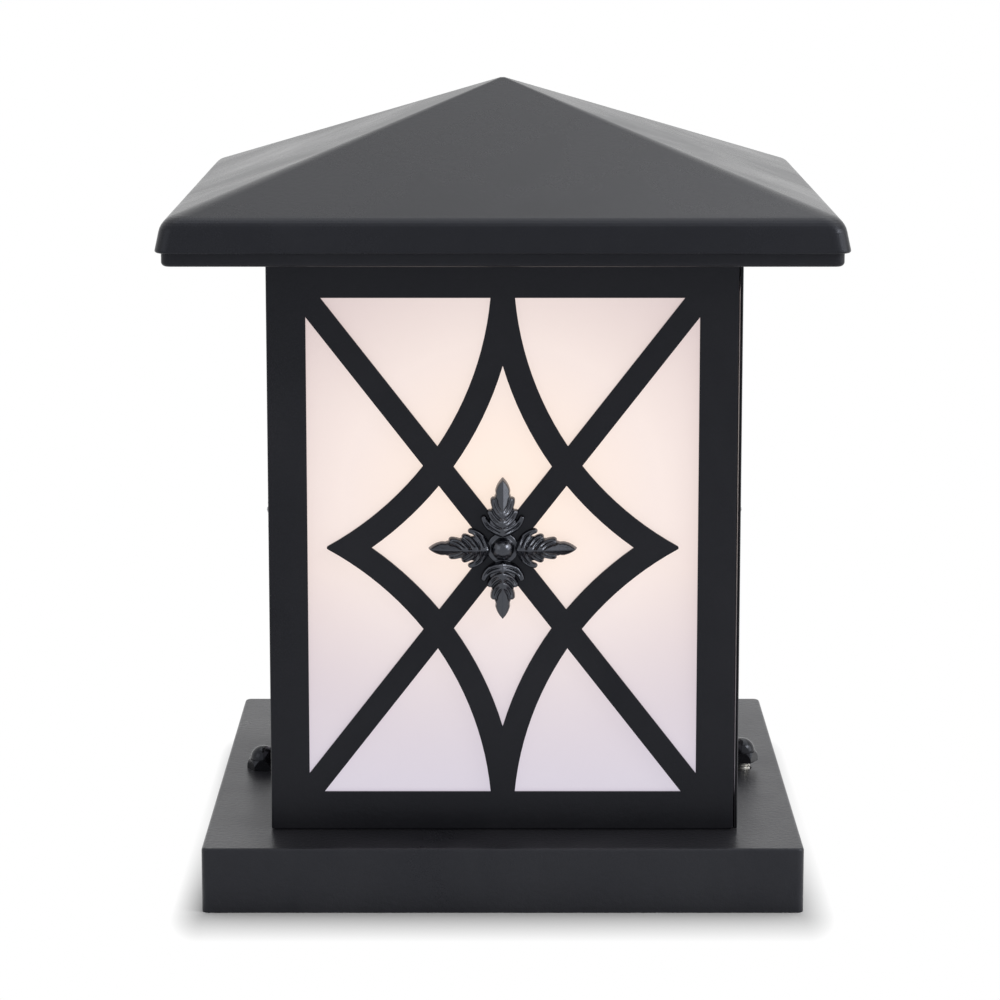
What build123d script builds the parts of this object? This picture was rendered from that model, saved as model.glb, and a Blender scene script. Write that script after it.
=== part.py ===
from build123d import *
import math
import os

# A square pier lantern: a fretted steel box on a folded pan, under a pyramid roof.
# Millimetres. The origin is the middle of the pan's rim, +Z is up, and the front faces -Y.

# Box
body_side = 156.0
body_height = 195.1
body_sheet = 1.0
body_edge_radius = 0.8
body_foot_gap = 0.6
lap_gap = 0.2

# Fret cut out of each side of the box
side_border = 13.0
top_border = 14.0
bottom_border = 13.3
bar_width = 7.8
band_width = 8.25
stem_width = 8.1
fret_corner_radius = 0.6
arc_centre_shares = (0.848, 0.558)

# Pan under the box
pan_ledge = 22.0
pan_height = 22.0
pan_sheet = 1.2
pan_edge_radius = 1.0
pan_corner_radius = 2.4

# Roof tray and roof cap
tray_overhang = 31.3
tray_sheet = 1.2
tray_reveal = 4.4
tray_rim_lap = 1.2
tray_edge_radius = 1.5
tray_corner_radius = 3.2
tray_opening_inset = 17.0
roof_sheet = 1.2
roof_side_gap = 1.0
skirt_height = 10.3
skirt_lean = 2.1
roof_rise = 38.8
break_radius = 6.5
skirt_edge_radius = 0.7
break_steps = 6
hip_radius = 5.5
apex_half = 0.9
apex_radius_share = 0.8

# Frames and posts inside the box
frame_sheet = 1.2
frame_flange = 14.0
foot_frame_height = 11.1
head_frame_height = 11.9
post_leg = 9.0
post_sheet = 1.0
joint_gap = 0.1

# Opal panes
pane_thickness = 1.5
pane_top_gap = 0.2

# Cast rosettes
rosette_reach_up = 23.9
rosette_reach_side = 24.9
leaf_half_width_up = 7.4
leaf_half_width_side = 6.9
leaf_edge_height = 1.5
leaf_ridge_height = 3.9
leaf_stack_height = 0.7
button_radius = 3.7
button_height = 5.6
rivet_radius = 1.6
rivet_tail_radius = 2.6
rivet_tail_height = 0.9

# Leaf outline from root to tip. Each row is a lobe: its crest and the notch after it,
# each as a share of the reach from the rosette's centre and of the leaf's half width.
leaf_root_shares = (0.162, 0.0)
leaf_scroll_shares = (0.245, 0.66)
leaf_lobe_shares = (
    (0.445, 1.00, 0.415, 0.59),
    (0.500, 0.72, 0.552, 0.54),
    (0.650, 0.60, 0.750, 0.35),
    (0.850, 0.31, 1.000, 0.00),
)

# Studs, their nuts and the strap
nut_across_flats = 10.0
nut_side_gap = 1.25
nut_hex_height = 3.6
nut_height = 8.2
nut_bore_depth = 6.7
nut_chamfer = 0.4
right_nut_lift = 2.8
stud_radius = 3.0
stud_above_pan = 6.3
stud_hole_radius = 3.6
stud_chamfer = 0.5
thread_gap = 0.05
strap_width = 25.0
strap_sheet = 2.0
strap_end_gap = 3.8
strap_slot_spacing = 88.9
strap_slot_length = 14.0
strap_slot_width = 5.2
strap_cable_radius = 8.0
lock_nut_height = 5.0

# Small screws
screw_radius = 1.95
screw_hole_radius = 2.1
screw_head_radius = 3.8
screw_head_height = 2.3
screw_slot_width = 0.9
screw_slot_depth = 1.0
screw_nut_flats = 7.0
screw_nut_height = 3.2
screw_tail = 0.8
frame_screw_inset = 8.0
boss_radius = 5.0
boss_inset = 15.3
boss_spread = 55.0
boss_seat_gap = 0.1
eave_screw_length = 11.0
strap_screw_nut_gap = 14.45
earth_washer_radius = 4.6
earth_washer_sheet = 0.8

# Lampholder on its bracket
bracket_rise = 18.0
bracket_width = 20.0
bracket_sheet = 1.2
bracket_top_reach = 20.0
bracket_foot = 14.0
bracket_rivet_radius = 1.6
bracket_rivet_head_radius = 3.0
bracket_rivet_head_height = 1.2
holder_radius = 19.0
holder_height = 37.0
holder_rim_radius = 1.6
holder_floor = 11.0
holder_web = 1.0
holder_cavity_radius = 7.0
nipple_radius = 5.0
nipple_bore_radius = 3.6
nipple_in_holder = 6.0
nipple_below = 4.8
nipple_nut_flats = 14.0
nipple_nut_height = 3.4
shell_sheet = 0.4
shell_gap = 0.2
shell_height = 22.5
shell_floor_inner = 10.0
contact_radius = 4.5
contact_sheet = 0.8
contact_stem_radius = 1.4
contact_stem_length = 4.0

# Bulb
bulb_cap_radius = 13.1
bulb_cap_height = 22.0
bulb_cap_ring = 0.35
bulb_cap_pitch = 3.6
bulb_seat_gap = 0.1
bulb_contact_radius = 4.2
bulb_contact_height = 1.2
bulb_insulator_height = 3.2
bulb_collar_height = 33.0
bulb_neck_radius = 13.6
bulb_globe_radius = 30.0
bulb_shoulder_drop = 16.0
bulb_lip = 0.8

# Wiring
grommet_hole_radius = 6.0
grommet_bore_radius = 4.0
grommet_flange = 1.8
grommet_lip = 1.2
lead_radius = 0.9
lead_spread = 1.8
lead_above_pan = 6.0
lead_bend_share = 0.45
wire_drop = 3.8
block_pitch = 8.0
block_length = 27.0
block_depth = 16.0
block_height = 8.0
block_front = 16.0
block_nut_gap = 3.0
block_bore_radius = 1.6
block_bore_depth = 7.0
block_screw_radius = 1.7
block_screw_slot = 0.6
lead_entry = 0.5
earth_stud_reach = 24.0
earth_stud_length = 9.0
earth_ring_radius = 5.0
earth_ring_sheet = 0.8
earth_nut_flats = 7.0

# Running overlap for every cut
overrun = 1.0

# Heights, from the ground up
pan_top = pan_height
pan_under = pan_top - pan_sheet
body_low = pan_top + body_foot_gap
body_top = pan_top + body_height
tray_floor = body_top + tray_sheet
skirt_low = body_top + tray_reveal
break_height = skirt_low + skirt_height
roof_top = break_height + roof_rise
holder_low = pan_top + bracket_rise
holder_floor_top = holder_low + holder_floor

# Half widths, from the middle out
body_half = body_side / 2
body_inner = body_half - body_sheet
right_inner = body_half + lap_gap
right_outer = right_inner + body_sheet
pan_side = body_side + 2 * pan_ledge
tray_side = body_side + 2 * tray_overhang
tray_half = tray_side / 2
skirt_half = tray_half + roof_side_gap + roof_sheet
break_half = skirt_half - skirt_lean
pane_outer = body_inner - rivet_tail_height - joint_gap
pane_inner = pane_outer - pane_thickness
post_outer = min(pane_inner, body_inner - frame_sheet) - joint_gap
frame_inner = body_inner - frame_flange
frame_screw_reach = body_inner - frame_screw_inset
boss_reach = tray_half - boss_inset
block_back = frame_screw_reach - screw_nut_flats / math.sqrt(3) - block_nut_gap
block_face = block_back - block_depth
grommet_reach = block_face - block_front
bracket_foot_reach = bracket_top_reach + bracket_foot / 2
nut_corner = nut_across_flats / math.sqrt(3)
nut_reach = right_outer + nut_side_gap + nut_corner
strap_screw_reach = nut_reach - nut_corner - strap_screw_nut_gap
shell_inner = bulb_cap_radius + bulb_cap_ring + shell_gap
shell_outer = shell_inner + shell_sheet

# Fret places
fret_width = body_side - 2 * side_border
fret_low = pan_top + bottom_border
fret_high = body_top - top_border
fret_height = fret_high - fret_low
fret_centre = (fret_low + fret_high) / 2

# The four sides: turn about Z, and how far out the side's face stands
side_names = ("front", "right", "back", "left")
side_turns = {name: index * 360 / len(side_names) for index, name in enumerate(side_names)}
side_faces = {"front": body_half, "right": right_outer, "back": body_half, "left": body_half}


def save(shape, node):
    export_step(shape, "parts/" + node + ".step")


def slab(x_size, y_size, low, high, x=0, y=0):
    return Pos(x, y, (low + high) / 2) * Box(x_size, y_size, high - low)


def disc(radius, low, high, x=0, y=0):
    return Pos(x, y, (low + high) / 2) * Cylinder(radius, high - low)


def cone(low_radius, high_radius, low, high, x=0, y=0):
    return Pos(x, y, (low + high) / 2) * Cone(low_radius, high_radius, high - low)


def hex_nut(flats, bore, low, high, x=0, y=0):
    outline = Pos(x, y, low) * RegularPolygon(flats / 2, 6, major_radius=False)
    return extrude(outline, high - low) - disc(bore, low - overrun, high + overrun, x, y)


# A slotted screw whose head stands on seat and whose shank runs down from it.
def screw(seat, shank_length, x=0, y=0):
    top = seat + screw_head_height
    head = disc(screw_head_radius, seat, top, x, y)
    head = fillet(head.edges().group_by(Axis.Z)[-1], screw_head_height / 2)
    slot = slab(2 * screw_head_radius, screw_slot_width, top - screw_slot_depth, top + overrun, x, y)
    return head + disc(screw_radius, seat - shank_length, seat, x, y) - slot


def upside_down(shape, level):
    return mirror(shape, about=Plane.XY.offset(level))


# The middles of the four sides at one distance from the axis.
def side_places(reach):
    return [(0, -reach), (reach, 0), (0, reach), (-reach, 0)]


# The roof's fixings: two under the left eave and two under the right one.
def boss_places():
    return [(x, y) for x in (-boss_reach, boss_reach) for y in (-boss_spread, boss_spread)]


# Turns a piece made for the front round to another side.
def on_side(shape, side):
    return Rot(0, 0, side_turns[side]) * shape


# Fret: a diagonal cross, and four bands that curve in towards the middle as a star.
def fret_openings():
    centre_x = arc_centre_shares[0] * fret_width
    centre_y = arc_centre_shares[1] * fret_height
    radius = math.hypot(centre_x - stem_width / 2, centre_y - fret_height / 2)
    ring = Circle(radius + band_width) - Circle(radius)
    quarter = Pos(-fret_width / 4, fret_height / 4) * Rectangle(fret_width / 2, fret_height / 2)
    star = (Pos(-centre_x, centre_y) * ring) & quarter
    star = star + mirror(star, about=Plane.YZ)
    star = star + mirror(star, about=Plane.XZ)
    slope = math.degrees(math.atan2(fret_height, fret_width))
    bar = Rectangle(2 * (fret_width + fret_height), bar_width)
    cross = Rot(0, 0, slope) * bar + Rot(0, 0, -slope) * bar
    windows = Rectangle(fret_width, fret_height) - star - cross
    return [fillet(window.vertices(), fret_corner_radius) for window in windows.faces()]


# A fretted panel, made facing the front, with its inner face at the given distance.
def fret_panel(width, inner_face, openings):
    plane = Plane.XZ.offset(inner_face)
    height = body_top - body_low
    middle = (body_top + body_low) / 2
    sheet = extrude(plane * Pos(0, middle) * Rectangle(width, height), body_sheet)
    outer = sheet.edges().filter_by(Axis.Z).group_by(Axis.Y)[0]
    sheet = fillet(outer, body_edge_radius)
    for opening in openings:
        hole = plane * Pos(0, fret_centre) * opening
        sheet = sheet - extrude(hole, 2 * body_sheet, both=True)
    rivet_hole = plane * Pos(0, fret_centre) * Circle(rivet_radius + joint_gap)
    return sheet - extrude(rivet_hole, 2 * body_sheet, both=True)


def make_panels():
    openings = fret_openings()
    between = 2 * (body_inner - joint_gap)
    save(on_side(fret_panel(body_side, body_inner, openings), "front"), "front_panel")
    save(on_side(fret_panel(body_side, body_inner, openings), "back"), "back_panel")
    save(on_side(fret_panel(between, body_inner, openings), "left"), "left_panel")
    save(on_side(fret_panel(body_side, right_inner, openings), "right"), "right_panel")


def make_panes():
    low = pan_top + foot_frame_height + joint_gap
    high = body_top - head_frame_height - pane_top_gap
    width = 2 * (pane_inner - joint_gap)
    middle = -(pane_outer - pane_thickness / 2)
    pane = slab(width, pane_thickness, low, high, 0, middle)
    for side in side_turns:
        save(on_side(pane, side), side + "_pane")


# One angle strip of a frame ring: an upright flange at the panel and a flat one inwards.
def frame_strip(upright_half, flat_half, flat_low, upright_low, upright_high):
    upright_y = -(body_inner - frame_sheet / 2)
    upright = slab(2 * upright_half, frame_sheet, upright_low, upright_high, 0, upright_y)
    flat_y = -(body_inner - frame_flange / 2)
    flat = slab(2 * flat_half, frame_flange, flat_low, flat_low + frame_sheet, 0, flat_y)
    hole = disc(screw_hole_radius, flat_low - overrun, flat_low + frame_sheet + overrun, 0, -frame_screw_reach)
    return upright + flat - hole


# A ring of four strips: two run the whole width, and two fit between them.
def frame_ring(*heights):
    whole = frame_strip(body_inner, body_inner, *heights)
    short = frame_strip(body_inner - frame_sheet - joint_gap, frame_inner - joint_gap, *heights)
    return Compound([on_side(whole, "front"), on_side(whole, "back"),
                     on_side(short, "left"), on_side(short, "right")])


def make_frames():
    save(frame_ring(pan_top, pan_top, pan_top + foot_frame_height), "foot_frame")
    flat_low = body_top - frame_sheet
    save(frame_ring(flat_low, body_top - head_frame_height, body_top), "head_frame")


# Corner posts: angles that press the panes out and tie the two frames together.
def make_posts():
    low = pan_top + frame_sheet
    high = body_top - frame_sheet
    middle = post_outer - post_leg / 2
    post = slab(post_leg, post_leg, low, high, middle, middle)
    inside = middle - post_sheet
    post = post - slab(post_leg, post_leg, low - overrun, high + overrun, inside, inside)
    save(Compound([on_side(post, side) for side in side_turns]), "corner_posts")


# Pan: a folded tray, open below.
def make_pan():
    pan = slab(pan_side, pan_side, 0, pan_height)
    pan = fillet(pan.edges().filter_by(Axis.Z), pan_corner_radius)
    pan = fillet(pan.edges().group_by(Axis.Z)[-1], pan_edge_radius)
    inner = pan_side - 2 * pan_sheet
    hollow = slab(inner, inner, -overrun, pan_under)
    pan = pan - fillet(hollow.edges().filter_by(Axis.Z), pan_corner_radius - pan_sheet)
    through = (pan_under - overrun, pan_top + overrun)
    for x in (-nut_reach, nut_reach):
        pan = pan - disc(stud_hole_radius, *through, x, 0)
    for x, y in side_places(frame_screw_reach):
        pan = pan - disc(screw_hole_radius, *through, x, y)
    for x in (-bracket_foot_reach, bracket_foot_reach):
        pan = pan - disc(bracket_rivet_radius + joint_gap, *through, x, 0)
    pan = pan - disc(grommet_hole_radius, *through, 0, grommet_reach)
    save(pan, "base_pan")


# Strap that is screwed to the pier, with its cable hole and two slots.
def make_strap():
    length = pan_side - 2 * (pan_sheet + strap_end_gap)
    strap = slab(length, strap_width, 0, strap_sheet)
    strap = fillet(strap.edges().filter_by(Axis.Z), strap_width / 8)
    through = (-overrun, strap_sheet + overrun)
    strap = strap - disc(strap_cable_radius, *through)
    for side in (-1, 1):
        strap = strap - disc(stud_radius + thread_gap, *through, side * nut_reach, 0)
        slot = Pos(side * strap_slot_spacing / 2, 0, -overrun) * SlotOverall(strap_slot_length, strap_slot_width)
        strap = strap - extrude(slot, strap_sheet + 2 * overrun)
    strap = strap - disc(screw_radius + thread_gap, *through, strap_screw_reach, 0)
    save(strap, "mounting_strap")


def make_studs():
    top = pan_top + stud_above_pan
    stud = disc(stud_radius, 0, top)
    stud = chamfer(stud.edges().group_by(Axis.Z)[-1], stud_chamfer)
    places = [Pos(-nut_reach, 0, 0), Pos(nut_reach, 0, 0)]
    save(Compound([place * stud for place in places]), "strap_studs")
    nut = hex_nut(nut_across_flats, stud_radius + thread_gap, strap_sheet, strap_sheet + lock_nut_height)
    save(Compound([place * nut for place in places]), "stud_lock_nuts")
    seat = strap_sheet + earth_washer_sheet
    washer = disc(earth_washer_radius, strap_sheet, seat, strap_screw_reach, 0)
    save(screw(seat, seat, strap_screw_reach, 0) + washer, "strap_earth_screw")


# A domed cap nut, seated at the given height.
def cap_nut(low, x):
    outline = Pos(x, 0, low) * RegularPolygon(nut_across_flats / 2, 6, major_radius=False)
    hexagon = extrude(outline, nut_hex_height)
    rounding = cone(nut_corner + nut_chamfer, nut_across_flats / 2, low, low + nut_hex_height + nut_chamfer, x)
    hexagon = hexagon & rounding
    dome_height = nut_height - nut_hex_height
    base = nut_across_flats / 2 - nut_chamfer
    ball_radius = (base ** 2 + dome_height ** 2) / (2 * dome_height)
    ball = Pos(x, 0, low + nut_height - ball_radius) * Sphere(ball_radius)
    dome = ball & disc(nut_corner, low + nut_hex_height, low + nut_height + overrun, x)
    bore = disc(stud_radius + thread_gap, low - overrun, low + nut_bore_depth, x)
    return hexagon + dome - bore


def make_cap_nuts():
    save(cap_nut(pan_top, -nut_reach), "cap_nut_left")
    save(cap_nut(pan_top + right_nut_lift, nut_reach), "cap_nut_right")


# Roof tray: it closes the box, carries the roof and is open in the middle for the bulb.
def make_tray():
    rim_top = skirt_low + tray_rim_lap
    tray = slab(tray_side, tray_side, body_top, rim_top)
    tray = fillet(tray.edges().filter_by(Axis.Z), tray_corner_radius)
    tray = fillet(tray.edges().group_by(Axis.Z)[0], tray_edge_radius)
    inner = tray_side - 2 * tray_sheet
    hollow = slab(inner, inner, tray_floor, rim_top + overrun)
    tray = tray - fillet(hollow.edges().filter_by(Axis.Z), tray_corner_radius - tray_sheet)
    opening = 2 * (body_inner - tray_opening_inset)
    tray = tray - slab(opening, opening, body_top - overrun, tray_floor + overrun)
    for x, y in side_places(frame_screw_reach) + boss_places():
        tray = tray - disc(screw_hole_radius, body_top - overrun, tray_floor + overrun, x, y)
    save(tray, "roof_tray")


# The roof's section, from its lower edge over the rounded break to the apex,
# as pairs of half width and height, drawn inwards by inset.
def roof_section(inset, low):
    skirt_length = math.hypot(skirt_lean, skirt_height)
    slope_length = math.hypot(break_half, roof_rise)
    skirt_normal = (-skirt_height / skirt_length, -skirt_lean / skirt_length)
    slope_normal = (-roof_rise / slope_length, -break_half / slope_length)
    reach = 1 + skirt_normal[0] * slope_normal[0] + skirt_normal[1] * slope_normal[1]
    corner_x = (skirt_normal[0] + slope_normal[0]) / reach
    corner_z = (skirt_normal[1] + slope_normal[1]) / reach
    centre = (break_half + break_radius * corner_x, break_height + break_radius * corner_z)
    start = math.atan2(-skirt_normal[1], -skirt_normal[0])
    turn = math.atan2(-slope_normal[1], -slope_normal[0]) - start
    radius = break_radius - inset
    arc = []
    for step in range(break_steps + 1):
        angle = start + turn * step / break_steps
        arc.append((centre[0] + radius * math.cos(angle), centre[1] + radius * math.sin(angle)))
    foot = (arc[0][0] + (arc[0][1] - low) * skirt_lean / skirt_height, low)
    tip = (apex_half, arc[-1][1] + (arc[-1][0] - apex_half) * roof_rise / break_half)
    return [foot] + arc + [tip]


def roof_form(inset, low):
    rings = []
    for half, height in roof_section(inset, low):
        corner = min(hip_radius - inset, half * apex_radius_share)
        rings.append(Pos(0, 0, height) * RectangleRounded(2 * half, 2 * half, corner))
    return loft(rings, ruled=True)


def make_roof():
    inside = roof_form(roof_sheet, skirt_low - overrun)
    outside = roof_form(0, skirt_low)
    outside = fillet(outside.edges().group_by(Axis.Z)[0], skirt_edge_radius)
    save(outside - inside, "roof_cap")
    low = tray_floor + boss_seat_gap
    bosses = []
    for x, y in boss_places():
        boss = disc(boss_radius, low, roof_top, x, y) & inside
        bore = disc(screw_radius + joint_gap, low - overrun, low + eave_screw_length, x, y)
        bosses.append(boss - bore)
    save(Compound(bosses), "roof_bosses")
    one = upside_down(screw(body_top, eave_screw_length), body_top)
    save(Compound([Pos(x, y, 0) * one for x, y in boss_places()]), "eave_screws")


# Screws and nuts that hold the box to the pan and the tray to the box.
def make_frame_screws():
    grip = frame_sheet + pan_sheet
    seats = {"foot": pan_top + frame_sheet, "tray": tray_floor}
    for name, seat in seats.items():
        under = seat - grip
        nut = hex_nut(screw_nut_flats, screw_radius + thread_gap, under - screw_nut_height, under)
        one = screw(seat, grip + screw_nut_height + screw_tail)
        places = side_places(frame_screw_reach)
        save(Compound([Pos(x, y, 0) * one for x, y in places]), name + "_screws")
        save(Compound([Pos(x, y, 0) * nut for x, y in places]), name + "_nuts")


# Half of a leaf's outline, root to tip, from its lobes.
def leaf_edges(reach, half_width):
    def place(shares):
        return (shares[1] * half_width, shares[0] * reach)

    lobes = [((row[0], row[1]), (row[2], row[3])) for row in leaf_lobe_shares]
    edges = [ThreePointArc(place(leaf_root_shares), place(leaf_scroll_shares), place(lobes[0][0]))]
    edges.append(Line(place(lobes[0][0]), place(lobes[0][1])))
    notch = lobes[0][1]
    for crest, after in lobes[1:]:
        edges.append(ThreePointArc(place(notch), place(crest), place(after)))
        notch = after
    return edges


# A cast leaf that points up, ridged along its middle.
def leaf(reach, half_width, lift):
    right = leaf_edges(reach, half_width)
    left = [mirror(edge, about=Plane.YZ) for edge in right]
    outline = make_face(right + left)
    ridge = leaf_ridge_height + lift
    edge = leaf_edge_height + lift
    section = Plane.XZ * make_face(Polyline((-half_width, 0), (half_width, 0), (half_width, edge),
                                            (0, ridge), (-half_width, edge), close=True))
    return extrude(outline, ridge) & extrude(section, -reach - overrun)


# A rosette in its own frame: X across, Y up, Z out of the panel.
def rosette():
    up = leaf(rosette_reach_up, leaf_half_width_up, leaf_stack_height)
    side = leaf(rosette_reach_side, leaf_half_width_side, 0)
    body = up + Rot(0, 0, 180) * up + Rot(0, 0, 90) * side + Rot(0, 0, -90) * side
    plate_radius = leaf_root_shares[0] * rosette_reach_up + button_radius
    body = body + disc(plate_radius, 0, leaf_edge_height)
    button = disc(button_radius, 0, button_height)
    button = fillet(button.edges().group_by(Axis.Z)[-1], button_radius * apex_radius_share)
    body = body + button
    return body - disc(rivet_radius + joint_gap, -overrun, leaf_ridge_height)


def make_rosettes():
    cast = rosette()
    rivets = []
    for side, face in side_faces.items():
        plane = Plane.XZ.offset(face)
        save(on_side(plane * Pos(0, fret_centre, 0) * cast, side), side + "_rosette")
        shank = disc(rivet_radius, -body_sheet, leaf_ridge_height - joint_gap)
        tail = disc(rivet_tail_radius, -body_sheet - rivet_tail_height, -body_sheet)
        rivets.append(on_side(plane * Pos(0, fret_centre, 0) * (shank + tail), side))
    save(Compound(rivets), "rosette_rivets")


# Bracket that carries the lampholder above the pan.
def make_bracket():
    top_low = holder_low - bracket_sheet
    bracket = slab(2 * bracket_top_reach, bracket_width, top_low, holder_low)
    leg_x = bracket_top_reach - bracket_sheet / 2
    foot_x = bracket_foot_reach - bracket_sheet / 2
    rivets = []
    for side in (-1, 1):
        bracket = bracket + slab(bracket_sheet, bracket_width, pan_top, holder_low, side * leg_x)
        foot = slab(bracket_foot + bracket_sheet, bracket_width, pan_top, pan_top + bracket_sheet, side * foot_x)
        bracket = bracket + foot
        x = side * bracket_foot_reach
        bracket = bracket - disc(bracket_rivet_radius + joint_gap, pan_top - overrun,
                                 pan_top + bracket_sheet + overrun, x)
        seat = pan_top + bracket_sheet
        shank = disc(bracket_rivet_radius, pan_under, seat, x)
        head = disc(bracket_rivet_head_radius, seat, seat + bracket_rivet_head_height, x)
        tail = disc(bracket_rivet_head_radius, pan_under - bracket_rivet_head_height, pan_under, x)
        rivets.append(shank + head + tail)
    bracket = bracket - disc(nipple_radius + joint_gap, top_low - overrun, holder_low + overrun)
    save(bracket, "holder_bracket")
    save(Compound(rivets), "bracket_rivets")
    low = top_low - nipple_below
    nipple = disc(nipple_radius, low, holder_low + nipple_in_holder)
    nipple = nipple - disc(nipple_bore_radius, low - overrun, holder_low + nipple_in_holder + overrun)
    save(nipple, "holder_nipple")
    nut = hex_nut(nipple_nut_flats, nipple_radius + thread_gap, top_low - nipple_nut_height, top_low)
    save(nut, "nipple_nut")


def make_holder():
    top = holder_low + holder_height
    body = disc(holder_radius, holder_low, top)
    body = fillet(body.edges().group_by(Axis.Z)[-1], holder_rim_radius)
    body = body - disc(shell_outer + joint_gap, holder_floor_top, top + overrun)
    body = body - disc(nipple_radius + thread_gap, holder_low - overrun, holder_low + nipple_in_holder)
    body = body - disc(holder_cavity_radius, holder_low + nipple_in_holder, holder_floor_top - holder_web)
    body = body - disc(contact_stem_radius + thread_gap, holder_low, holder_floor_top + overrun)
    save(body, "lampholder_body")
    shell = disc(shell_outer, holder_floor_top, holder_floor_top + shell_height)
    shell = shell - disc(shell_inner, holder_floor_top + shell_sheet, top)
    shell = shell - disc(shell_floor_inner, holder_floor_top - overrun, top)
    save(shell, "screw_shell")
    contact = disc(contact_radius, holder_floor_top, holder_floor_top + contact_sheet)
    contact = contact + disc(contact_stem_radius, holder_floor_top - contact_stem_length, holder_floor_top)
    save(contact, "centre_contact")


def make_bulb():
    low = holder_floor_top + contact_sheet + bulb_seat_gap
    cap_low = low + bulb_contact_height + bulb_insulator_height
    cap_top = cap_low + bulb_cap_height
    save(disc(bulb_contact_radius, low, low + bulb_contact_height), "bulb_contact")
    insulator = cone(bulb_contact_radius + bulb_lip, bulb_cap_radius - bulb_lip, low + bulb_contact_height, cap_low)
    save(insulator, "bulb_insulator")
    cap = disc(bulb_cap_radius, cap_low, cap_top)
    rings = int(bulb_cap_height / bulb_cap_pitch)
    for index in range(1, rings):
        ring_low = cap_low + (index - 1 / 4) * bulb_cap_pitch
        cap = cap + disc(bulb_cap_radius + bulb_cap_ring, ring_low, ring_low + bulb_cap_pitch / 3)
    save(cap, "bulb_cap")
    collar_top = cap_top + bulb_collar_height
    ball_height = collar_top + bulb_shoulder_drop
    shoulder = math.sqrt(bulb_globe_radius ** 2 - bulb_shoulder_drop ** 2)
    collar = cone(bulb_neck_radius, shoulder + bulb_lip, cap_top, collar_top)
    save(collar, "bulb_collar")
    globe = Pos(0, 0, ball_height) * Sphere(bulb_globe_radius)
    keep = disc(bulb_globe_radius + overrun, collar_top, ball_height + bulb_globe_radius + overrun)
    save(globe & keep, "bulb_globe")


# A lead: straight runs joined by tangent arcs, each as large as its runs allow.
def lead(points):
    runs = [math.dist(points[i], points[i + 1]) for i in range(len(points) - 1)]
    radii = []
    for i in range(1, len(points) - 1):
        before = Vector(*points[i]) - Vector(*points[i - 1])
        after = Vector(*points[i + 1]) - Vector(*points[i])
        half_turn = math.radians(before.get_angle(after) / 2)
        radii.append(lead_bend_share * min(runs[i - 1], runs[i]) / math.tan(half_turn))
    path = FilletPolyline(*points, radius=radii)
    print("lead radii", [round(r, 1) for r in radii], "length", round(path.length, 1))
    profile = Plane(path @ 0, z_dir=path % 0) * Circle(lead_radius)
    return sweep(profile, path=path)


def make_wiring():
    level = pan_under - wire_drop
    above = pan_top + lead_above_pan
    block_y = (block_face + block_back) / 2
    end_y = block_face + lead_entry
    start = holder_low + nipple_in_holder - joint_gap
    ends = {"live_lead": (lead_spread, block_pitch), "neutral_lead": (-lead_spread, 0)}
    for name, (x, pole) in ends.items():
        save(lead([(x, 0, start), (x, 0, above), (x, grommet_reach, above),
                   (x, grommet_reach, level), (pole, end_y, level)]), name)
    stud_y = block_face - block_depth / 2
    ring_end = -(earth_stud_reach - earth_ring_radius + lead_entry)
    wire = lead([(-block_pitch, end_y, level), (-block_pitch, stud_y, level), (ring_end, stud_y, level)])
    ring = disc(earth_ring_radius, level - earth_ring_sheet / 2, level + earth_ring_sheet / 2,
                -earth_stud_reach, stud_y)
    ring = ring - disc(screw_radius + thread_gap, level - overrun, level + overrun, -earth_stud_reach, stud_y)
    save(wire + ring, "earth_lead")
    save(disc(screw_radius, pan_under - earth_stud_length, pan_under, -earth_stud_reach, stud_y), "earth_stud")
    upper = hex_nut(earth_nut_flats, screw_radius + thread_gap, level + earth_ring_sheet / 2, pan_under,
                    -earth_stud_reach, stud_y)
    lower_top = level - earth_ring_sheet / 2
    lower = hex_nut(earth_nut_flats, screw_radius + thread_gap, lower_top - screw_nut_height, lower_top,
                    -earth_stud_reach, stud_y)
    save(Compound([upper, lower]), "earth_stud_nuts")
    block = slab(block_length, block_depth, pan_under - block_height, pan_under, 0, block_y)
    screws = []
    for pole in (-block_pitch, 0, block_pitch):
        mouth = Pos(pole, block_face + block_bore_depth / 2, level) * Rot(90, 0, 0)
        block = block - mouth * Cylinder(block_bore_radius, block_bore_depth + overrun)
        low = pan_under - block_height
        well = disc(block_screw_radius + joint_gap, low - overrun, low + block_bore_radius, pole, block_y)
        block = block - well
        head = disc(block_screw_radius, low, low + block_bore_radius, pole, block_y)
        slot = slab(2 * block_screw_radius, block_screw_slot, low - overrun, low + block_screw_slot, pole, block_y)
        screws.append(head - slot)
    save(block, "terminal_block")
    save(Compound(screws), "terminal_screws")
    flange = grommet_hole_radius + grommet_flange
    grommet = disc(flange, pan_under - grommet_lip, pan_top + grommet_lip, 0, grommet_reach)
    groove = disc(flange + overrun, pan_under, pan_top, 0, grommet_reach)
    groove = groove - disc(grommet_hole_radius, pan_under, pan_top, 0, grommet_reach)
    bore = disc(grommet_bore_radius, pan_under - overrun - grommet_lip, pan_top + overrun + grommet_lip,
                0, grommet_reach)
    save(grommet - groove - bore, "cable_grommet")


os.makedirs("parts", exist_ok=True)
make_strap()
make_studs()
make_pan()
make_frames()
make_posts()
make_panels()
make_panes()
make_rosettes()
make_tray()
make_roof()
make_frame_screws()
make_cap_nuts()
make_bracket()
make_holder()
make_bulb()
make_wiring()
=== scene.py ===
import math

import bmesh
import bpy
from mathutils import Matrix, Vector


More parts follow.
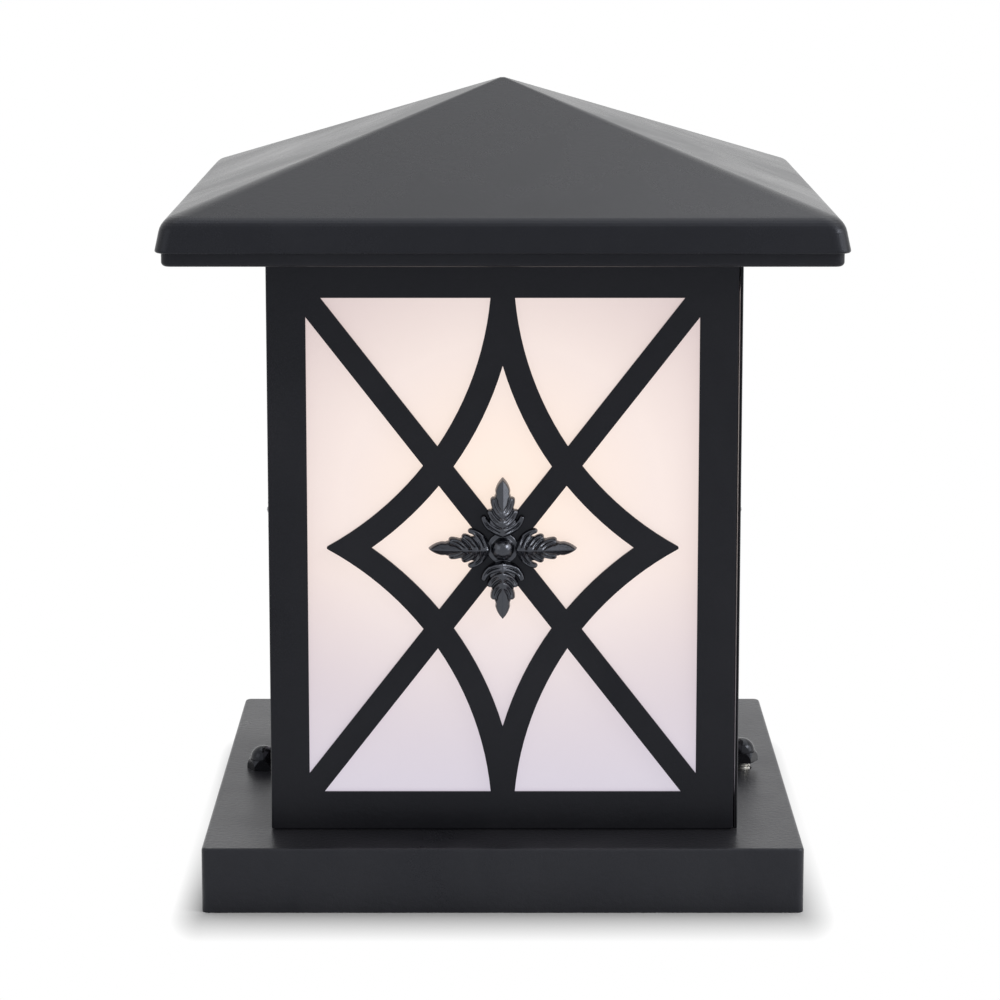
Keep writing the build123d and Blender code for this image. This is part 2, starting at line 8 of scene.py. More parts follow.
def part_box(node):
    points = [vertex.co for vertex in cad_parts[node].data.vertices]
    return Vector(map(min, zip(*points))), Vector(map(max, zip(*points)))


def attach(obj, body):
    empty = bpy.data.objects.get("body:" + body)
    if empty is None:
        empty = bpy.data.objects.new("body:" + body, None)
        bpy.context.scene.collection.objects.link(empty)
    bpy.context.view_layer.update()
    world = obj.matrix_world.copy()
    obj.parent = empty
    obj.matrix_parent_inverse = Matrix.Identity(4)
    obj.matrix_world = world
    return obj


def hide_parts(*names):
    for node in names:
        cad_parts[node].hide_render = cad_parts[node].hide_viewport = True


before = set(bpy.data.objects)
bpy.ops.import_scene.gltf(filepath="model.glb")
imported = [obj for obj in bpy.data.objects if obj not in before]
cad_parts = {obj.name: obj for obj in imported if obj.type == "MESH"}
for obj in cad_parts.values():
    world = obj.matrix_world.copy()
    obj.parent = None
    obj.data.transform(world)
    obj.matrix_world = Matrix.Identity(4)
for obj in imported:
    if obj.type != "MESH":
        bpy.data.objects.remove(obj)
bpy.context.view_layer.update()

print("frame loaded:", len(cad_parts), "nodes")

mm = 0.001
scene = bpy.context.scene
sideTurns = {"front": 0, "right": 90, "back": 180, "left": 270}
sides = list(sideTurns)


# Shader maths

class Line:
    # one socket, with arithmetic that adds Math nodes
    def __init__(self, shader, socket):
        self.shader = shader
        self.socket = socket

    def run(self, operation, values, clamp=False):
        settings = {"operation": operation, "use_clamp": clamp}
        return self.shader.node("ShaderNodeMath", settings, values)["Value"]

    def __add__(self, other):
        return self.run("ADD", [self, other])

    def __sub__(self, other):
        return self.run("SUBTRACT", [self, other])

    def __rsub__(self, other):
        return self.run("SUBTRACT", [other, self])

    def __mul__(self, other):
        return self.run("MULTIPLY", [self, other])

    __radd__ = __add__
    __rmul__ = __mul__

    def root(self):
        return self.run("POWER", [self, 0.5])

    def above(self, level):
        return self.run("GREATER_THAN", [self, level])

    def atLeast(self, low):
        return self.run("MAXIMUM", [self, low])

    def unsigned(self):
        return self.run("ABSOLUTE", [self])

    def clamped(self):
        return self.run("ADD", [self, 0.0], clamp=True)


class Made:
    # a node whose outputs are read by name or number
    def __init__(self, shader, node):
        self.shader = shader
        self.node = node

    def __getitem__(self, name):
        return Line(self.shader, self.node.outputs[name])


# A Mix node names its colour sockets as its other ones, so they are found by number.
mixPorts = {"factor": 0, "low": 6, "high": 7, "result": 2}
noiseMiddle = (0.3, 0.7)  # most of a noise lies between these


class Shader:
    def __init__(self, owner, ending="ShaderNodeOutputMaterial"):
        self.owner = owner
        owner.use_nodes = True
        self.tree = owner.node_tree
        self.tree.nodes.clear()
        self.end = self.tree.nodes.new(ending)

    # settings are set first, then the values or links of the sockets
    def node(self, kind, settings=None, sockets=None):
        made = self.tree.nodes.new(kind)
        for key, value in (settings or {}).items():
            setattr(made, key, value)
        pairs = sockets.items() if isinstance(sockets, dict) else enumerate(sockets or [])
        for key, value in pairs:
            self.plug(made.inputs[key], value)
        return Made(self, made)

    def plug(self, socket, value):
        if isinstance(value, Line):
            self.tree.links.new(value.socket, socket)
        else:
            socket.default_value = value

    # x, y and z of the surface, or of the way that a ray goes
    def axes(self, output="Object"):
        places = self.node("ShaderNodeTexCoord")[output]
        split = self.node("ShaderNodeSeparateXYZ", {}, [places])
        return split["X"], split["Y"], split["Z"]

    def noise(self, size, detail=2.0, roughness=0.5, distortion=0.0):
        return self.node("ShaderNodeTexNoise", {}, {
            "Vector": self.node("ShaderNodeTexCoord")["Object"],
            "Scale": 1 / size,
            "Detail": detail,
            "Roughness": roughness,
            "Distortion": distortion,
        })["Fac"]

    # a value spread from low to high between two input values
    def spread(self, value, fromLow, fromHigh, toLow=0, toHigh=1):
        return self.node("ShaderNodeMapRange", {"clamp": True}, {
            "Value": value,
            "From Min": fromLow,
            "From Max": fromHigh,
            "To Min": toLow,
            "To Max": toHigh,
        })["Result"]

    # a noise spread over its usual range
    def vary(self, noise, low=0, high=1):
        return self.spread(noise, *noiseMiddle, low, high)

    def mix(self, factor, low, high):
        sockets = {mixPorts["factor"]: factor, mixPorts["low"]: low, mixPorts["high"]: high}
        return self.node("ShaderNodeMix", {"data_type": "RGBA"}, sockets)[mixPorts["result"]]

    def bump(self, height, strength, distance):
        sockets = {"Height": height, "Strength": strength, "Distance": distance}
        return self.node("ShaderNodeBump", {}, sockets)["Normal"]

    def blend(self, factor, first, second):
        return self.node("ShaderNodeMixShader", {}, [factor, first, second])["Shader"]

    def surface(self, sockets):
        return self.node("ShaderNodeBsdfPrincipled", {}, sockets)["BSDF"]

    def show(self, surface):
        self.plug(self.end.inputs["Surface"], surface)
        return self.owner


def newShader(name):
    return Shader(bpy.data.materials.new(name))


def rgba(red, green, blue):
    return (red, green, blue, 1.0)


# a colour made darker, lighter or warmer by a factor for each of red, green and blue
def shade(colour, factors):
    return rgba(*[tone * factor for tone, factor in zip(colour, factors)])


# A screen's own curve, which takes a colour seen on it, in 0 to 255, to a plain one
screenCurve = {"full": 255, "low": 0.04045, "slope": 12.92, "lift": 0.055, "power": 2.4}


def seen(red, green, blue):
    def plain(value):
        value = value / screenCurve["full"]
        if value <= screenCurve["low"]:
            return value / screenCurve["slope"]
        return ((value + screenCurve["lift"]) / (1 + screenCurve["lift"])) ** screenCurve["power"]
    return rgba(plain(red), plain(green), plain(blue))


# Finishes. A noise is given as its size, detail, roughness and distortion.

powder = {
    "grain": (0.5 * mm, 3.0, 0.6),
    "orange": (1.7 * mm, 2.0, 0.5),
    "cloud": (45 * mm, 3.0, 0.6, 0.4),
    "orangeShare": 1.6,
    "grainShare": 0.25,
    "roughRange": (0.35, 0.85),
    "roughFall": 0.05,
    "roughRise": 0.07,
    "darker": (0.78, 0.78, 0.8),
    "lighter": (1.2, 1.2, 1.18),
    "tint": rgba(0.82, 0.87, 1.0),
    "bumpDistance": 0.09 * mm,
}

# Painted shade: where the right panel's front edge face shows in the lap at the front right
# corner, a near black, dull colour stands in for the shade of the narrow gap
lap = {
    "side": 78.45 * mm,
    "front": 77.9 * mm,
    "colour": rgba(0.002, 0.002, 0.002),
    "roughness": 0.9,
    "specular": 0.02,
}


# painted shade: the edge face in the lap is shown near black and dull, standing in for the gap's
# shade
def paintedLapShade(shader, coat):
    x, y = shader.axes()[:2]
    edge = x.above(lap["side"]) * (y * -1).above(lap["front"])
    paintedShade = shader.surface({
        "Base Color": lap["colour"],
        "Roughness": lap["roughness"],
        "Specular IOR Level": lap["specular"],
    })
    return shader.blend(edge, coat, paintedShade)


# edge, when given, lays painted shade over the coat
def powderCoat(name, colour, roughness, strength, specular, edge=None):
    shader = newShader(name)
    grain = shader.noise(*powder["grain"])
    orange = shader.noise(*powder["orange"])
    cloud = shader.noise(*powder["cloud"])
    rough = shader.spread(cloud + grain * powder["grainShare"], *powder["roughRange"],
                          roughness - powder["roughFall"], roughness + powder["roughRise"])
    paint = shader.mix(shader.vary(cloud), shade(colour, powder["darker"]),
                       shade(colour, powder["lighter"]))
    height = grain + orange * powder["orangeShare"]
    coat = shader.surface({
        "Base Color": paint,
        "Roughness": rough,
        "Specular IOR Level": specular,
        "Specular Tint": powder["tint"],
        "Normal": shader.bump(height, strength, powder["bumpDistance"]),
    })
    return shader.show(coat if edge is None else edge(shader, coat))


metal = {
    "spangle": (5 * mm, 4.0, 0.65, 0.6),
    "spangleRange": (0.35, 0.65),
    "brush": (0.35 * mm, 2.0, 0.5),
    "warm": (1.04, 0.98, 0.86),
    "roughFall": 0.06,
    "roughRise": 0.1,
    "bumpStrength": 0.12,
    "bumpDistance": 0.03 * mm,
}


def metalFinish(name, colour, roughness):
    shader = newShader(name)
    spangle = shader.noise(*metal["spangle"])
    brush = shader.noise(*metal["brush"])
    warmth = shader.spread(spangle, *metal["spangleRange"])
    rough = shader.vary(spangle, roughness - metal["roughFall"], roughness + metal["roughRise"])
    return shader.show(shader.surface({
        "Base Color": shader.mix(warmth, colour, shade(colour, metal["warm"])),
        "Metallic": 1.0,
        "Roughness": rough,
        "Normal": shader.bump(brush, metal["bumpStrength"], metal["bumpDistance"]),
    }))


plastic = {
    "cloud": (20 * mm, 3.0),
    "darker": (0.92, 0.92, 0.92),
    "grain": 0.5 * mm,
    "roughFall": 0.04,
    "roughRise": 0.05,
    "bumpStrength": 0.15,
    "bumpDistance": 0.03 * mm,
}


def plasticFinish(name, colour, roughness, grain=plastic["grain"],
                  strength=plastic["bumpStrength"]):
    shader = newShader(name)
    cloud = shader.noise(*plastic["cloud"])
    fine = shader.noise(grain)
    rough = shader.vary(fine, roughness - plastic["roughFall"], roughness + plastic["roughRise"])
    return shader.show(shader.surface({
        "Base Color": shader.mix(cloud, shade(colour, plastic["darker"]), colour),
        "Roughness": rough,
        "Normal": shader.bump(fine, strength, plastic["bumpDistance"]),
    }))


# The opal panes glow: warmest near the bulb, cooler and dimmer towards the foot.
opal = {
    "bulbHeight": 135 * mm,
    "paneReach": 75 * mm,
    "reach": (15 * mm, 55 * mm, 92 * mm),
    "haze": 30 * mm,
    "hazeShift": 5 * mm,
    "footRange": (38 * mm, 112 * mm),
    "warm": seen(241, 221, 206),
    "middle": seen(230, 214, 208),
    "outer": seen(206, 188, 187),
    "cool": seen(200, 193, 206),
    "strength": 1.0,
    "body": rgba(0.16, 0.15, 0.145),
    "paleBody": rgba(0.18, 0.17, 0.165),
    "grain": 0.8 * mm,
    "roughness": (0.32, 0.42),
    "bumpStrength": 0.1,
    "bumpDistance": 0.02 * mm,
}


def opalGlow():
    shader = newShader("opalAcrylic")
    x, y, z = shader.axes()
    rise = z - opal["bulbHeight"]
    # distance over the pane itself: each pane lies at one y or one x, so that part is constant
    across = (x * x + y * y - opal["paneReach"] ** 2).atLeast(0.0)
    away = (across + rise * rise).root()
    first, second, third = opal["reach"]
    haze = shader.noise(opal["haze"])
    warmth = shader.spread(away + haze * opal["hazeShift"], first, second)
    glow = shader.mix(warmth, opal["warm"], opal["middle"])
    glow = shader.mix(shader.spread(away, second, third), glow, opal["outer"])
    glow = shader.mix(shader.spread(z, *opal["footRange"]), opal["cool"], glow)
    fine = shader.noise(opal["grain"])
    return shader.show(shader.surface({
        "Base Color": shader.mix(haze, opal["body"], opal["paleBody"]),
        "Roughness": shader.vary(fine, *opal["roughness"]),
        "Emission Color": glow,
        "Emission Strength": opal["strength"],
        "Normal": shader.bump(fine, opal["bumpStrength"], opal["bumpDistance"]),
    }))


globe = {
    "body": rgba(0.8, 0.78, 0.74),
    "range": (108 * mm, 135 * mm),
    "low": seen(250, 214, 170),
    "high": seen(255, 236, 212),
    "strength": 1.4,
    "grain": 0.6 * mm,
    "roughness": (0.38, 0.46),
}


def globeGlow():
    shader = newShader("bulbDiffuser")
    climb = shader.spread(shader.axes()[2], *globe["range"])
    return shader.show(shader.surface({
        "Base Color": globe["body"],
        "Roughness": shader.vary(shader.noise(globe["grain"]), *globe["roughness"]),
        "Emission Color": shader.mix(climb, globe["low"], globe["high"]),
        "Emission Strength": globe["strength"],
    }))


earth = {
    "green": rgba(0.05, 0.3, 0.04),
    "yellow": rgba(0.75, 0.6, 0.05),
    "stripe": (17.1 * mm, 17.3 * mm),
    "grain": 0.5 * mm,
    "roughness": (0.42, 0.5),
}


def earthFinish():
    shader = newShader("earthInsulation")
    stripe = shader.spread(shader.axes()[2], *earth["stripe"])
    return shader.show(shader.surface({
        "Base Color": shader.mix(stripe, earth["green"], earth["yellow"]),
        "Roughness": shader.vary(shader.noise(earth["grain"]), *earth["roughness"]),
    }))


# Paints: colour, roughness, strength of the texture, specular. The others: colour, roughness.
black = rgba(0.0122, 0.0122, 0.0146)
finishes = {
    "box": powderCoat("boxPowderCoat", black, 0.32, 0.32, 0.17),
    "lappedBox": powderCoat("lappedBoxPowderCoat", black, 0.32, 0.32, 0.17, paintedLapShade),
    # painted light: the pan's paint is lighter than the box's black, for the brighter reflection
    # its front shows; its coarser texture is its own
    "pan": powderCoat("panPowderCoat", rgba(0.0185, 0.0185, 0.0215), 0.3, 0.8, 0.25),
    "roof": powderCoat("roofPowderCoat", rgba(0.0105, 0.0107, 0.0132), 0.25, 0.34, 0.205),
    "tray": powderCoat("trayPowderCoat", black, 0.34, 0.3, 0.17),
    "cast": powderCoat("castPaint", rgba(0.004, 0.004, 0.006), 0.21, 0.25, 0.9),
    "nut": powderCoat("nutPlating", rgba(0.006, 0.006, 0.007), 0.16, 0.1, 0.28),
    "zinc": metalFinish("zincPlate", rgba(0.62, 0.63, 0.64), 0.28),
    "rivet": metalFinish("rivetMetal", rgba(0.7, 0.7, 0.71), 0.35),
    "brass": metalFinish("pressedBrass", rgba(0.68, 0.5, 0.24), 0.3),
    "bulbCap": metalFinish("bulbCapMetal", rgba(0.75, 0.75, 0.74), 0.25),
    "opal": opalGlow(),
    "globe": globeGlow(),
    "holder": plasticFinish("holderPhenolic", rgba(0.03, 0.028, 0.027), 0.32),
    "bulbBlack": plasticFinish("bulbInsulator", rgba(0.02, 0.02, 0.022), 0.2),
    "bulbWhite": plasticFinish("bulbCollar", rgba(0.8, 0.8, 0.78), 0.35),
    "brown": plasticFinish("brownInsulation", rgba(0.13, 0.05, 0.02), 0.42),
    "blue": plasticFinish("blueInsulation", rgba(0.02, 0.08, 0.32), 0.42),
    "earth": earthFinish(),
    "block": plasticFinish("blockNylon", rgba(0.62, 0.6, 0.55), 0.45),
    "rubber": plasticFinish("grommetRubber", rgba(0.02, 0.02, 0.02), 0.6, 0.4 * mm, 0.3),
}

nodeFinishes = {
    # painted shade: the foot frame takes the box's black, which stands in for the shade in the
    # narrow gap under the panels
    "box": ["front_panel", "back_panel", "left_panel", "foot_frame", "head_frame", "corner_posts"],
    "lappedBox": ["right_panel"],
    "pan": ["base_pan"],
    "roof": ["roof_cap"],
    "tray": ["roof_tray"],
    "cast": [side + "_rosette" for side in sides],
    "nut": ["cap_nut_left", "cap_nut_right", "eave_screws"],
    "zinc": ["mounting_strap", "strap_studs", "stud_lock_nuts", "strap_earth_screw",
             "foot_screws", "foot_nuts", "tray_screws", "tray_nuts", "earth_stud",
             "earth_stud_nuts", "terminal_screws", "holder_nipple", "nipple_nut",
             "holder_bracket", "roof_bosses"],
    "rivet": ["rosette_rivets", "bracket_rivets"],
    "brass": ["screw_shell", "centre_contact", "bulb_contact"],
    "bulbCap": ["bulb_cap"],
    "opal": [side + "_pane" for side in sides],
    "globe": ["bulb_globe"],
    "holder": ["lampholder_body"],
    "bulbBlack": ["bulb_insulator"],
    "bulbWhite": ["bulb_collar"],
    "brown": ["live_lead"],
    "blue": ["neutral_lead"],
    "earth": ["earth_lead"],
    "block": ["terminal_block"],
    "rubber": ["cable_grommet"],
}


def dressNodes():
    dressed = set()
    for finish, names in nodeFinishes.items():
        for name in names:
            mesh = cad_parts[name].data
            mesh.materials.clear()
            mesh.materials.append(finishes[finish])
            dressed.add(name)
    print("finishes on", len(dressed), "nodes, missed", sorted(set(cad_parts) - dressed))


# Pieces

def place(name, data):
    made = bpy.data.objects.new(name, data)
    scene.collection.objects.link(made)
    return made


def meshPiece(name, shape, finish, smooth=True):
    mesh = bpy.data.meshes.new(name)
    shape.to_mesh(mesh)
    shape.free()
    mesh.materials.append(finishes[finish])
    mesh.polygons.foreach_set("use_smooth", [smooth] * len(mesh.polygons))
    return place(name, mesh)


def wholeOf(shape):
    return shape.verts[:] + shape.edges[:] + shape.faces[:]


# Cast rosettes, in millimetres. One quarter is raised from a grid. Each leaf's outline is a row
# of discs for its body and one for each petal, along a curve of (out along the leaf, aside). Its
# surface slopes from a sharp ridge. A petal swells towards its middle, where a slit runs along it.
rosetteCast = {
    "step": 0.2,
    "reach": 26.0,
    "wall": 8.0,
    "below": -1.0,
    "smooth": 0.3,
    "weld": 0.05,
    "near": 0.001,
    "button": {"radius": 3.8, "top": 5.5, "fall": 0.2},
    "collar": {"radius": 5.4, "top": 2.6, "fall": 0.3},
    "upLeaf": {"length": 1.0, "width": 1.0, "lift": 0.3},
    "sideLeaf": {"length": 1.035, "width": 0.93, "lift": 0.0},
    "leafStart": 3,
    "leafAside": 9,
    "body": [(7.3, 3.2), (8.4, 4.1), (9.6, 4.5), (11.0, 4.3), (12.5, 3.9), (14.0, 3.5),
             (15.5, 3.2), (17.0, 2.8), (18.2, 2.3), (19.4, 2.5), (20.6, 2.1), (21.8, 1.5),
             (22.8, 0.85), (23.5, 0.4)],
    "bodyDiscs": 56,
    "ridge": [(3.5, 3.4), (5.0, 4.3), (8.0, 5.2), (12.0, 5.0), (17.0, 4.3), (20.5, 3.8),
              (23.0, 3.3), (26.0, 2.6)],
    "ridgeWidth": 1.2,
    "slope": 0.8,
    "low": 1.2,
    "petals": {
        "scroll": {"start": (5.6, 0), "bend": (6.3, 5.0), "end": (10.2, 6.3),
                   "wide": (1.7, 1.05), "cut": 0.5, "slit": 1.2, "crown": 0.25},
        "third": {"start": (8.8, 1.0), "bend": (10.3, 3.6), "end": (12.2, 4.25),
                  "wide": (1.3, 1.1), "cut": 0.6, "slit": 0.9, "crown": 0.2},
        "second": {"start": (12.0, 0.8), "bend": (13.8, 3.0), "end": (16.4, 3.1),
                   "wide": (1.2, 1.05), "cut": 0.6, "slit": 0.8, "crown": 0.2},
    },
    "petalDiscs": 16,
    "slitWidth": 0.26,
}


# Discs (out, aside, radius, share of the way) along one petal's quadratic curve
def petalDiscs(facts):
    count = rosetteCast["petalDiscs"]
    corners = [facts["start"], facts["bend"], facts["end"]]
    discs = []
    for index in range(count + 1):
        along = index / count
        before = 1 - along
        weights = (before * before, 2 * before * along, along * along)
        out, aside = [sum(weight * corner[axis] for weight, corner in zip(weights, corners))
                      for axis in (0, 1)]
        radius = before * facts["wide"][0] + along * facts["wide"][1]
        discs.append((out, aside, radius, along))
    return discs


# A value between the stations of a list of (place, value)
def between(stations, spot):
    for (low, first), (high, last) in zip(stations, stations[1:]):
        if spot <= high:
            break
    share = min(max((spot - low) / (high - low), 0), 1)
    return first + (last - first) * share


def bodyDiscs(stations):
    low, high = stations[0][0], stations[-1][0]
    count = rosetteCast["bodyDiscs"]
    spots = [low + (high - low) * index / count for index in range(count + 1)]
    return [(spot, 0, between(stations, spot), 0) for spot in spots]


# How far a spot lies inside a row of discs, with the nearest disc's radius and share
def insideRow(discs, out, aside):
    return max((radius - math.hypot(out - discOut, aside - discAside), radius, along)
               for discOut, discAside, radius, along in discs)


def groove(distance):
    return math.exp(-(distance / rosetteCast["slitWidth"]) ** 2)


def leafHeight(body, petals, out, aside):
    cast = rosetteCast
    inside = insideRow(body, out, aside)[0]
    swell = 0
    cut = 0
    for name, discs in petals.items():
        facts = cast["petals"][name]
        edge, radius, along = insideRow(discs, out, aside)
        inside = max(inside, edge)
        share = min(max(edge / radius, 0), 1)
        swell = max(swell, facts["crown"] * (1 - (1 - share) ** 2))
        cut += facts["cut"] * groove(edge)
        cut += facts["slit"] * math.sin(math.pi * along) * groove(radius - edge)
    top = max(between(cast["ridge"], out) - cast["slope"] * aside, cast["low"])
    top += (swell - cut) * min(aside / cast["ridgeWidth"], 1)
    return min(top, inside * cast["wall"])


def castRosette():
    cast = rosetteCast
    body = bodyDiscs(cast["body"])
    petals = {name: petalDiscs(facts) for name, facts in cast["petals"].items()}
    button, collar = cast["button"], cast["collar"]
    count = round(cast["reach"] / cast["step"])
    half = cast["reach"] / 2
    shape = bmesh.new()
    bmesh.ops.create_grid(shape, x_segments=count, y_segments=count, size=half)
    bmesh.ops.translate(shape, vec=(half, half, 0), verts=shape.verts[:])
    for vert in shape.verts:
        x, y = vert.co.x, vert.co.y
        heights = [cast["below"]]
        for name, out, aside in (("upLeaf", y, x), ("sideLeaf", x, y)):
            leaf = cast[name]
            out, aside = out / leaf["length"], aside / leaf["width"]
            if out > cast["leafStart"] and aside < cast["leafAside"]:
                top = leafHeight(body, petals, out, aside)
                heights.append(top + leaf["lift"] if top > 0 else top)
        away = math.hypot(x, y)
        heights.append(min(button["top"] - button["fall"] * away ** 2,
                           (button["radius"] - away) * cast["wall"]))
        heights.append(min(collar["top"] - collar["fall"] * away,
                           (collar["radius"] - away) * cast["wall"]))
        vert.co.z = max(heights)
    for axis in "XY":
        bmesh.ops.mirror(shape, geom=wholeOf(shape), matrix=Matrix(), axis=axis,
                         merge_dist=cast["weld"])
    bmesh.ops.bisect_plane(shape, geom=wholeOf(shape), plane_co=(0, 0, 0),
                           plane_no=(0, 0, 1), dist=cast["near"], clear_inner=True)
    bmesh.ops.smooth_vert(shape, verts=[vert for vert in shape.verts if not vert.is_boundary],
                          factor=cast["smooth"],
                          use_axis_x=True, use_axis_y=True, use_axis_z=True)
    bmesh.ops.triangle_fill(shape, use_beauty=False, use_dissolve=False,
                            edges=[edge for edge in shape.edges if edge.is_boundary])
    bmesh.ops.recalc_face_normals(shape, faces=shape.faces[:])
    return shape


# The casting lies face up; each copy is stood up, set on its panel and turned to its side.
def makeRosettes():
    blank = castRosette()
    print("rosette casting:", len(blank.faces), "faces")
    for side in sides:
        low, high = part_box(side + "_rosette")
        height = ((low + high) / 2).z
        face = {"front": high.y, "back": low.y, "right": low.x, "left": high.x}[side]
        stand = Matrix.Rotation(math.radians(sideTurns[side]), 4, "Z")
        stand = stand @ Matrix.Translation((0, -abs(face), height))
        stand = stand @ Matrix.Rotation(math.pi / 2, 4, "X")
        shape = blank.copy()
        bmesh.ops.transform(shape, matrix=stand @ Matrix.Scale(mm, 4), verts=shape.verts[:])
        piece = meshPiece(side + "RosetteCast", shape, "cast")
        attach(piece, "lantern")
        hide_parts(side + "_rosette")
    blank.free()


# Threaded studs: a helix wound from one turn's profile, as (share of the turn's height, share
# of the thread's depth)
studThread = {
    "turnHeight": 1.0 * mm,
    "depth": 0.6 * mm,
    "steps": 28,
    "profile": [(0, 0), (0.44, 1), (0.5, 1), (0.94, 0), (1, 0)],
    "spareTurns": 2,
    "weld": 0.01 * mm,
    "near": 0.001 * mm,
}


# Cuts the helix off flat at one end and closes it there.
def trimStud(stud, level, way):
    bmesh.ops.bisect_plane(stud, geom=wholeOf(stud), plane_co=(0, 0, level),
                           plane_no=(0, 0, way), clear_inner=True)
    rim = [edge for edge in stud.edges if edge.is_boundary
           and all(abs(vert.co.z - level) < studThread["near"] for vert in edge.verts)]
    bmesh.ops.holes_fill(stud, edges=rim)


def makeStuds():
    facts = studThread
    low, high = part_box("strap_studs")
    radius = (high.y - low.y) / 2
    turns = math.ceil((high.z - low.z) / facts["turnHeight"]) + facts["spareTurns"]
    start = low.z - facts["turnHeight"]
    shape = bmesh.new()
    for x in (low.x + radius, high.x - radius):
        stud = bmesh.new()
        verts = [stud.verts.new((radius - share * facts["depth"], 0,
                                 start + rise * facts["turnHeight"]))
                 for rise, share in facts["profile"]]
        edges = [stud.edges.new(pair) for pair in zip(verts, verts[1:])]
        bmesh.ops.spin(stud, geom=verts + edges, cent=(0, 0, 0), axis=(0, 0, 1),
                       angle=math.tau * turns, steps=facts["steps"] * turns,
                       dvec=(0, 0, facts["turnHeight"] / facts["steps"]))
        bmesh.ops.remove_doubles(stud, verts=stud.verts[:], dist=facts["weld"])
        trimStud(stud, low.z, 1)
        trimStud(stud, high.z, -1)
        bmesh.ops.recalc_face_normals(stud, faces=stud.faces[:])
        bmesh.ops.translate(stud, vec=(x, 0, 0), verts=stud.verts[:])
        part = bpy.data.meshes.new("studPart")
        stud.to_mesh(part)
        stud.free()
        shape.from_mesh(part)
        bpy.data.meshes.remove(part)
    piece = meshPiece("threadedStuds", shape, "zinc", smooth=False)
    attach(piece, "bracket")
    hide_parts("strap_studs")
    print("threaded studs:", len(piece.data.polygons), "faces")


dressNodes()
makeRosettes()
makeStuds()


# Studio

# 1 for the rays that show the background itself: straight, in a gloss or through glass
def showsPlain(shader):
    path = shader.node("ShaderNodeLightPath")
    rays = path["Is Camera Ray"] + path["Is Glossy Ray"] + path["Is Transmission Ray"]
    return rays.clamped()


# The floor takes shadows near the lantern and turns plain white further off. The turn to white is
# a mask by distance from the middle, so the reach of the shadow is painted: past it the shadow is
# painted over with white. The camera sees the near floor in a darker colour than other rays do. A
# range is where the turn to white starts and ends, measured from the middle.
ground = {
    "size": 6.0,
    "cuts": 2,
    "colour": rgba(0.84, 0.84, 0.84),
    "shownColour": rgba(0.46, 0.46, 0.46),
    "white": 1.0,
    "sideRange": (0.0985, 0.11),
    "frontRange": (0.1, 0.13),
    "middleRange": (0.0, 0.08),
    "middleShare": 0.5,
    "footRange": (0.096, 0.1),
}


def addFloor():
    mesh = bpy.data.meshes.new("studioFloor")
    shape = bmesh.new()
    bmesh.ops.create_grid(shape, x_segments=ground["cuts"], y_segments=ground["cuts"],
                          size=ground["size"])
    shape.to_mesh(mesh)
    shape.free()
    floor = place("studioFloor", mesh)
    shader = newShader("paleFloor")
    plainRay = showsPlain(shader)
    colour = shader.mix(plainRay, ground["colour"], ground["shownColour"])
    near = shader.node("ShaderNodeBsdfDiffuse", {}, {"Color": colour})["BSDF"]
    white = shader.node("ShaderNodeEmission", {}, {"Strength": ground["white"]})["Emission"]
    x, y = shader.axes()[:2]
    aside, ahead = x.unsigned(), y.unsigned()
    offSide = shader.spread(aside, *ground["sideRange"])
    offFront = shader.spread(ahead, *ground["frontRange"])
    off = (offSide * offSide + offFront * offFront).root().clamped()
    # painted light: beside the lantern a mask lightens the shadow halfway between its front and
    # its back
    middle = shader.spread(ahead, *ground["middleRange"], ground["middleShare"], 0)
    middle = middle * shader.spread(aside, *ground["footRange"])
    far = (1 - (1 - off) * (1 - middle)) * plainRay
    mesh.materials.append(shader.show(shader.blend(far, near, white)))


# White where the camera looks; on the lantern it is white behind and dimmer in front.
sky = {
    "range": (-0.35, 0.55),
    "front": 0.3,
    "behind": 0.95,
    "slant": 0.18,
    "colour": rgba(0.985, 0.99, 1.0),
    "shownColour": rgba(1, 1, 1),
    "white": 1.0,
}


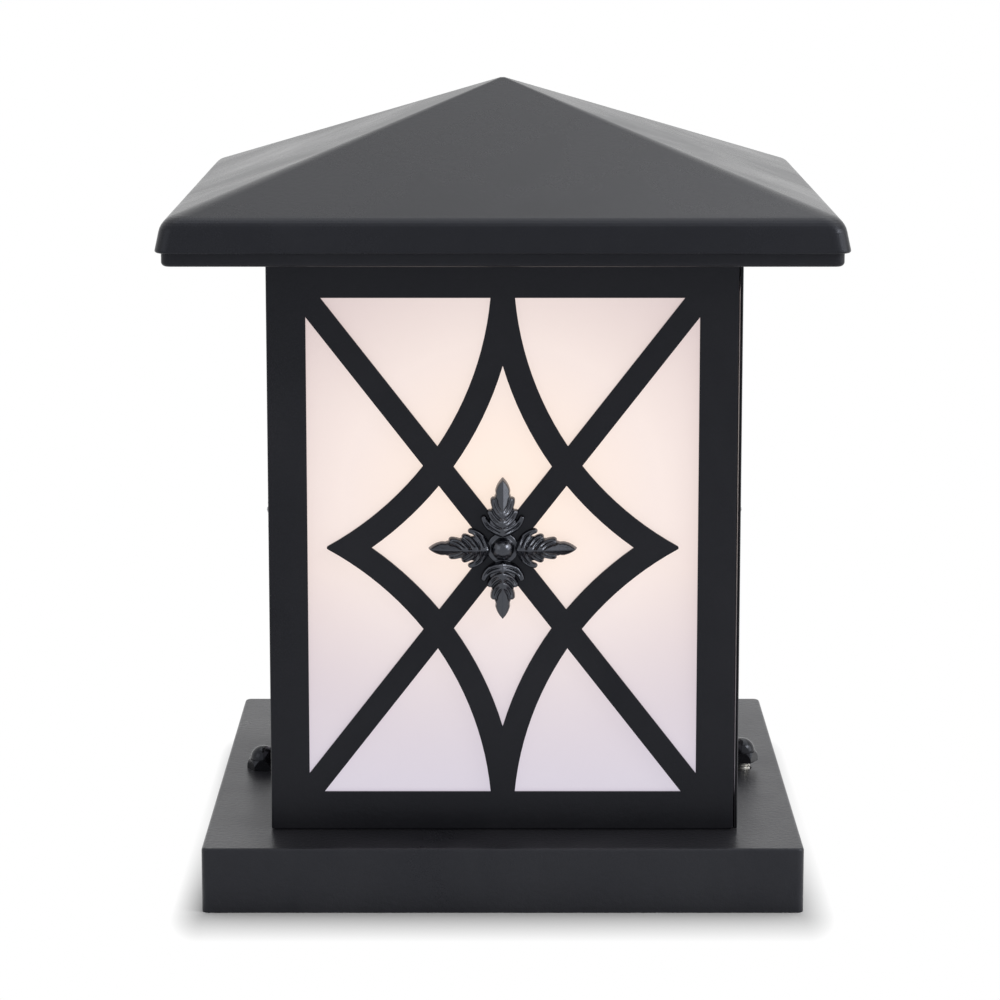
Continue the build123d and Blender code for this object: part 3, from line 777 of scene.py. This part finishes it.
def addSky():
    world = bpy.data.worlds.new("studioSky")
    scene.world = world
    shader = Shader(world, "ShaderNodeOutputWorld")
    x, y = shader.axes("Generated")[:2]
    strength = shader.spread(y, *sky["range"], sky["front"], sky["behind"]) + x * sky["slant"]
    light = shader.node("ShaderNodeBackground", {}, {
        "Color": sky["colour"], "Strength": strength})["Background"]
    white = shader.node("ShaderNodeBackground", {}, {
        "Color": sky["shownColour"], "Strength": sky["white"]})["Background"]
    shader.show(shader.blend(showsPlain(shader), light, white))


# An object's place when it stands at a spot and looks along a way
def lookAlong(spot, way):
    return Matrix.Translation(spot) @ way.to_track_quat("-Z", "Y").to_matrix().to_4x4()


# Soft lamps, each as place, width and height, and power, aimed at the middle of the box
lampAim = Vector((0, 0, 0.13))
lamps = {
    "keyPanel": {"place": (1.55, -0.28, 0.55), "size": (0.85, 1.2), "power": 7},
    "glintLamp": {"place": (1.28, -0.68, 1.1), "size": (0.6, 0.6), "power": 11},
    "fillLamp": {"place": (-1.5, -1.0, 0.9), "size": (1.1, 1.1), "power": 3},
    "topLamp": {"place": (0.4, 0.3, 2.2), "size": (2.4, 2.4), "power": 22},
}


def addLamps():
    for name, facts in lamps.items():
        light = bpy.data.lights.new(name, "AREA")
        light.shape = "RECTANGLE"
        light.size, light.size_y = facts["size"]
        light.energy = facts["power"]
        spot = Vector(facts["place"])
        place(name, light).matrix_world = lookAlong(spot, lampAim - spot)


# The photograph's camera: what it looks at, from how far, how far down, and its lens
camera = {
    "aimHeight": 152.7 * mm,
    "aimSide": -0.9 * mm,
    "distance": 1188.3 * mm,
    "lookDown": 9.5,
    "pixelLens": 3355.0,
    "pixelWidth": 1000,
    "shift": -0.09,
    "sensor": 36.0,
}


def addCamera():
    data = bpy.data.cameras.new("photoCamera")
    data.sensor_width = camera["sensor"]
    data.lens = camera["pixelLens"] / camera["pixelWidth"] * camera["sensor"]
    data.shift_y = camera["shift"]
    down = math.radians(camera["lookDown"])
    aim = Vector((camera["aimSide"], 0, camera["aimHeight"]))
    way = Vector((0, math.cos(down), -math.sin(down)))
    eye = place("photoCamera", data)
    eye.matrix_world = lookAlong(aim - way * camera["distance"], way)
    scene.camera = eye


addFloor()
addSky()
addLamps()
addCamera()
scene.view_settings.view_transform = "Standard"
print("studio, lamps and camera set")
